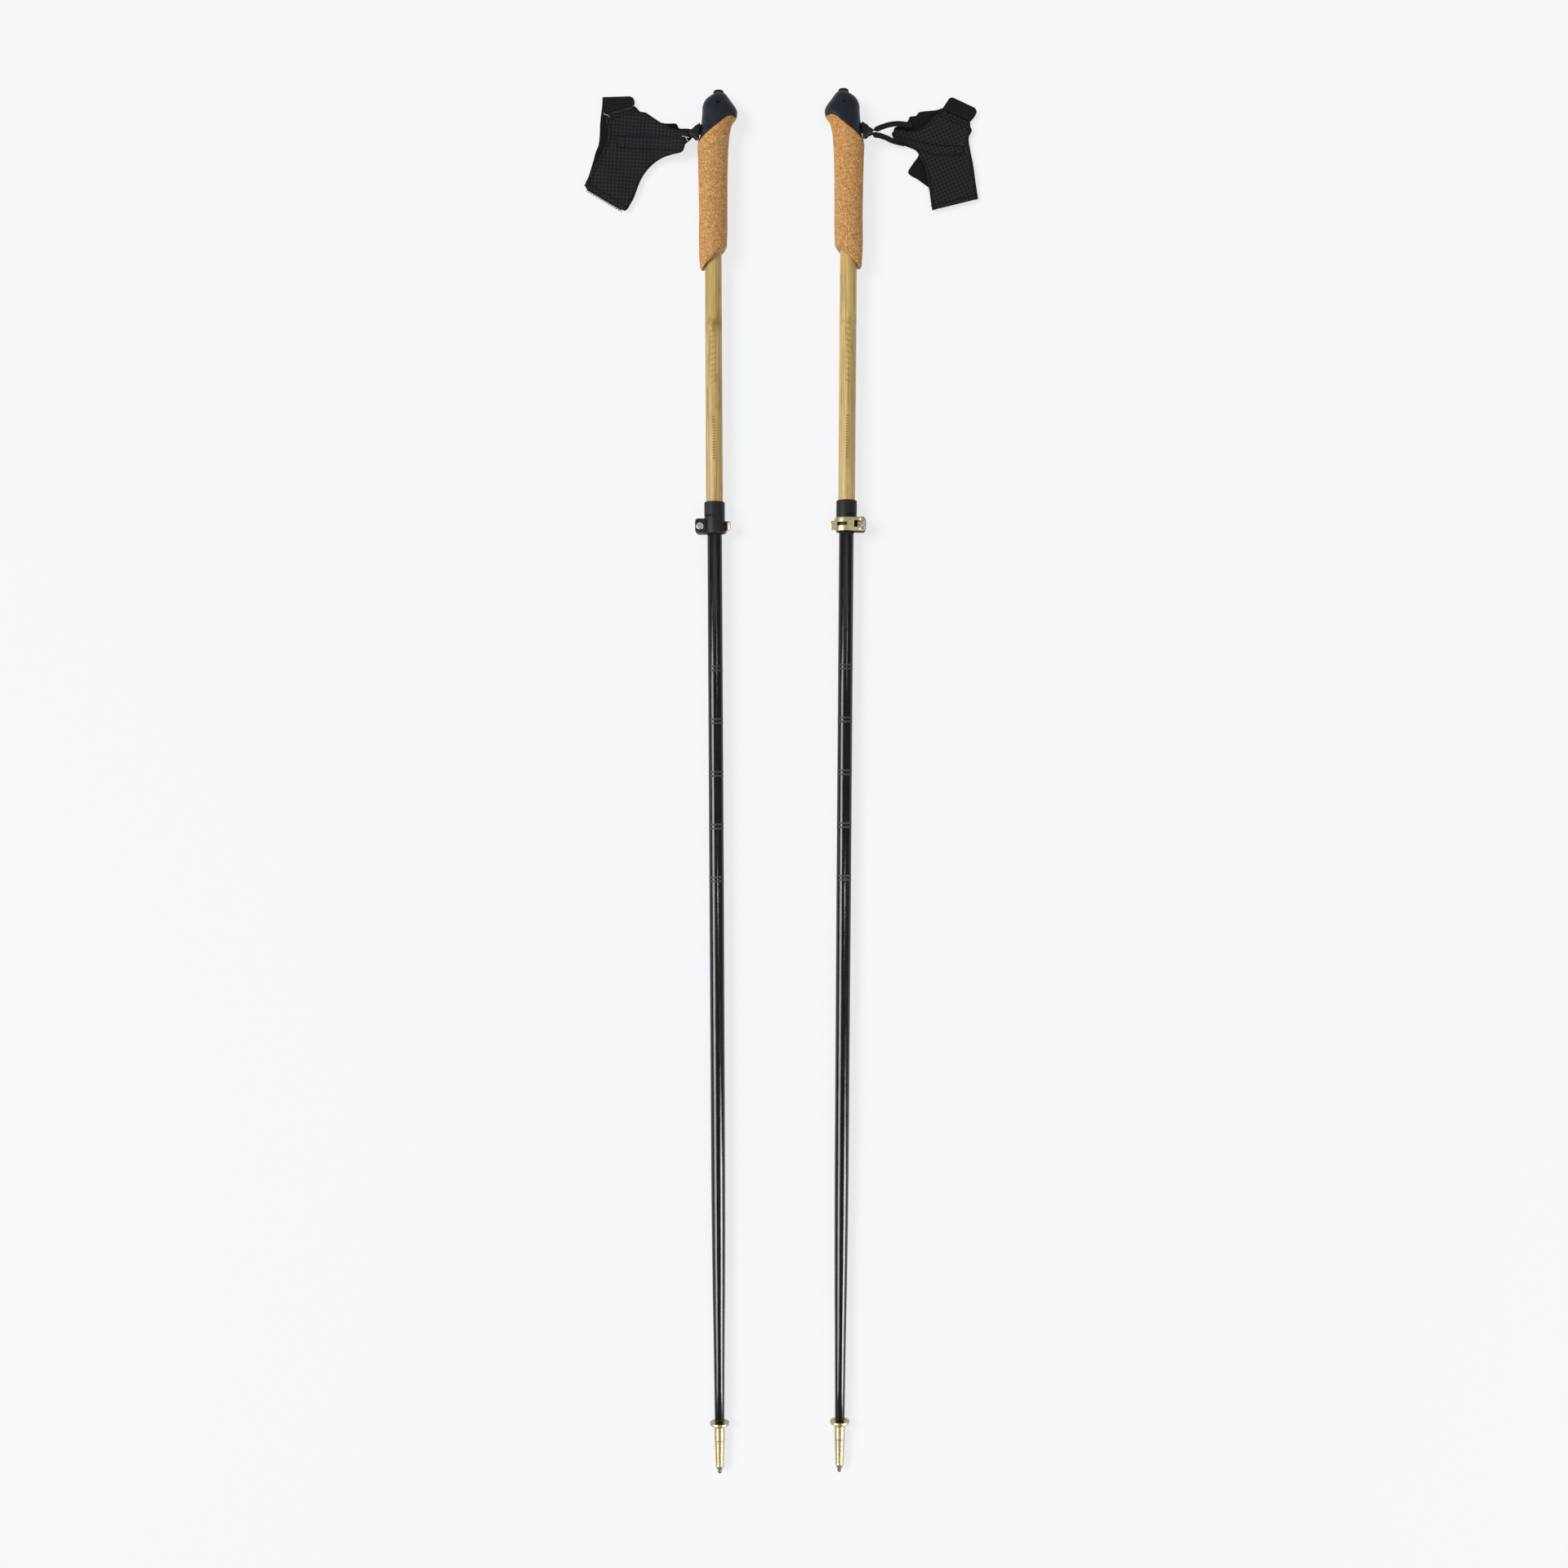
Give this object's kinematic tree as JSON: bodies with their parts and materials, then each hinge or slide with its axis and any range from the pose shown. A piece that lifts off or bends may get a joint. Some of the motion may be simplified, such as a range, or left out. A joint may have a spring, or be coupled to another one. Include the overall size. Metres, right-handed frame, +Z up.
{
  "type": "trekking poles",
  "caption": "Pair of two-part telescoping walking poles lying flat, with cork grips, lever clamps, metal ferrule tips and clip-in hand straps.",
  "frame": {"origin": "centre of the pair's bounding box, on the ground that it lies on", "axes": "+Z up, +Y along the poles towards their grips, +X towards the pole that lies lever side up"},
  "size_m": [0.3744, 1.3166, 0.0282],
  "materials": {
    "head_rubber": "satin soft-touch moulding, blue-grey black",
    "cork": "agglomerated natural cork, matt, with pale and dark granules",
    "button_plastic": "black moulded nylon",
    "spring_steel": "drawn spring wire",
    "bamboo_laminate": "clear-lacquered bamboo veneer in lengthwise strips over a carbon liner",
    "clamp_plastic": "black glass-filled nylon, fine texture",
    "anodised_gold": "champagne anodised, satin",
    "bright_steel": "plated steel",
    "carbon_shaft": "gloss-lacquered black carbon tube",
    "carbide": "ground tungsten carbide",
    "strap_webbing": "black woven polyester tape",
    "mitt_fabric": "black ripstop and mesh laminate"
  },
  "bodies": {
    "poles": {"left_grip_head": "head_rubber", "left_cork_grip": "cork", "left_button_spring": "spring_steel", "left_guide_pin": "bright_steel", "left_upper_shaft": "bamboo_laminate", "left_clamp_sleeve": "clamp_plastic", "left_pressure_plate": "bright_steel", "left_lever_nut": "anodised_gold", "right_grip_head": "head_rubber", "right_cork_grip": "cork", "right_button_spring": "spring_steel", "right_guide_pin": "bright_steel", "right_upper_shaft": "bamboo_laminate", "right_clamp_sleeve": "clamp_plastic", "right_pressure_plate": "bright_steel", "right_lever_nut": "anodised_gold"},
    "left_button": {"left_release_button": "button_plastic"},
    "left_lever": {"left_clamp_lever": "anodised_gold"},
    "left_screw": {"left_clamp_screw": "bright_steel"},
    "left_slider": {"left_tube_bush": "clamp_plastic"},
    "left_lower_tube": {"left_lower_shaft": "carbon_shaft", "left_ferrule": "anodised_gold", "left_carbide_tip": "carbide"},
    "left_connector": {"left_strap_connector": "button_plastic"},
    "left_strap": {"left_strap_webbing": "strap_webbing", "left_mitt_outer": "mitt_fabric", "left_mitt_inner": "mitt_fabric"},
    "left_tab": {"left_wrist_tab": "strap_webbing"},
    "right_button": {"right_release_button": "button_plastic"},
    "right_lever": {"right_clamp_lever": "anodised_gold"},
    "right_screw": {"right_clamp_screw": "bright_steel"},
    "right_slider": {"right_tube_bush": "clamp_plastic"},
    "right_lower_tube": {"right_lower_shaft": "carbon_shaft", "right_ferrule": "anodised_gold", "right_carbide_tip": "carbide"},
    "right_connector": {"right_strap_connector": "button_plastic"},
    "right_strap": {"right_strap_webbing": "strap_webbing", "right_mitt_outer": "mitt_fabric", "right_mitt_inner": "mitt_fabric"},
    "right_tab": {"right_wrist_tab": "strap_webbing"}
  },
  "joints": [
    {"name": "left_button_press", "type": "slide", "parent": "poles", "child": "left_button", "axis": [0.0053, -1, -0.0042], "range_m": [0, 0.003], "stiffness_N_per_m": 400, "deforming": ["left_button_spring"]},
    {"name": "left_lever_swing", "type": "hinge", "parent": "poles", "child": "left_lever", "pos_m": [-0.0771, 0.24267, 0.00376], "axis": [-0.0053, 1, 0.0042], "range_deg": [0, 165]},
    {"name": "left_screw_turn", "type": "hinge", "parent": "poles", "child": "left_screw", "pos_m": [-0.0771, 0.24264, 0.01276], "axis": [0, 0.0042, -1], "range_deg": [-360, 360]},
    {"name": "left_telescope", "type": "slide", "parent": "poles", "child": "left_slider", "axis": [-0.0053, 1, 0.0042], "range_m": [0, 0.328]},
    {"name": "left_tube_turn", "type": "hinge", "parent": "left_slider", "child": "left_lower_tube", "pos_m": [-0.06329, 0.24171, 0.01275], "axis": [-0.0053, 1, 0.0042], "continuous": true},
    {"name": "left_connector_pull", "type": "slide", "parent": "poles", "child": "left_connector", "axis": [-0.9252, -0.3795, -0.0016], "range_m": [0, 0.016]},
    {"name": "left_strap_swing", "type": "hinge", "parent": "left_connector", "child": "left_strap", "pos_m": [-0.08533, 0.61574, 0.01431], "axis": [0, 0, 1], "range_deg": [-20, 20]},
    {"name": "left_tab_lift", "type": "hinge", "parent": "left_strap", "child": "left_tab", "pos_m": [-0.15213, 0.63944, 0.00555], "axis": [0.9664, 0.2572, 0], "range_deg": [0, 120]},
    {"name": "right_button_press", "type": "slide", "parent": "poles", "child": "right_button", "axis": [-0.0074, -1, -0.0042], "range_m": [0, 0.003], "stiffness_N_per_m": 400, "deforming": ["right_button_spring"]},
    {"name": "right_lever_swing", "type": "hinge", "parent": "poles", "child": "right_lever", "pos_m": [0.07575, 0.24406, 0.02176], "axis": [0.0074, 1, 0.0042], "range_deg": [0, 165]},
    {"name": "right_screw_turn", "type": "hinge", "parent": "poles", "child": "right_screw", "pos_m": [0.07575, 0.2441, 0.01276], "axis": [0, -0.0042, 1], "range_deg": [-360, 360]},
    {"name": "right_telescope", "type": "slide", "parent": "poles", "child": "right_slider", "axis": [0.0074, 1, 0.0042], "range_m": [0, 0.328]},
    {"name": "right_tube_turn", "type": "hinge", "parent": "right_slider", "child": "right_lower_tube", "pos_m": [0.06194, 0.2432, 0.01275], "axis": [0.0074, 1, 0.0042], "continuous": true},
    {"name": "right_connector_pull", "type": "slide", "parent": "poles", "child": "right_connector", "axis": [0.9244, -0.3814, -0.0016], "range_m": [0, 0.016]},
    {"name": "right_strap_swing", "type": "hinge", "parent": "right_connector", "child": "right_strap", "pos_m": [0.08475, 0.61718, 0.01431], "axis": [0, 0, 1], "range_deg": [-20, 20]},
    {"name": "right_tab_lift", "type": "hinge", "parent": "right_strap", "child": "right_tab", "pos_m": [0.16645, 0.63358, 0.00555], "axis": [0.9101, -0.4143, 0], "range_deg": [0, 120]}
  ]
}
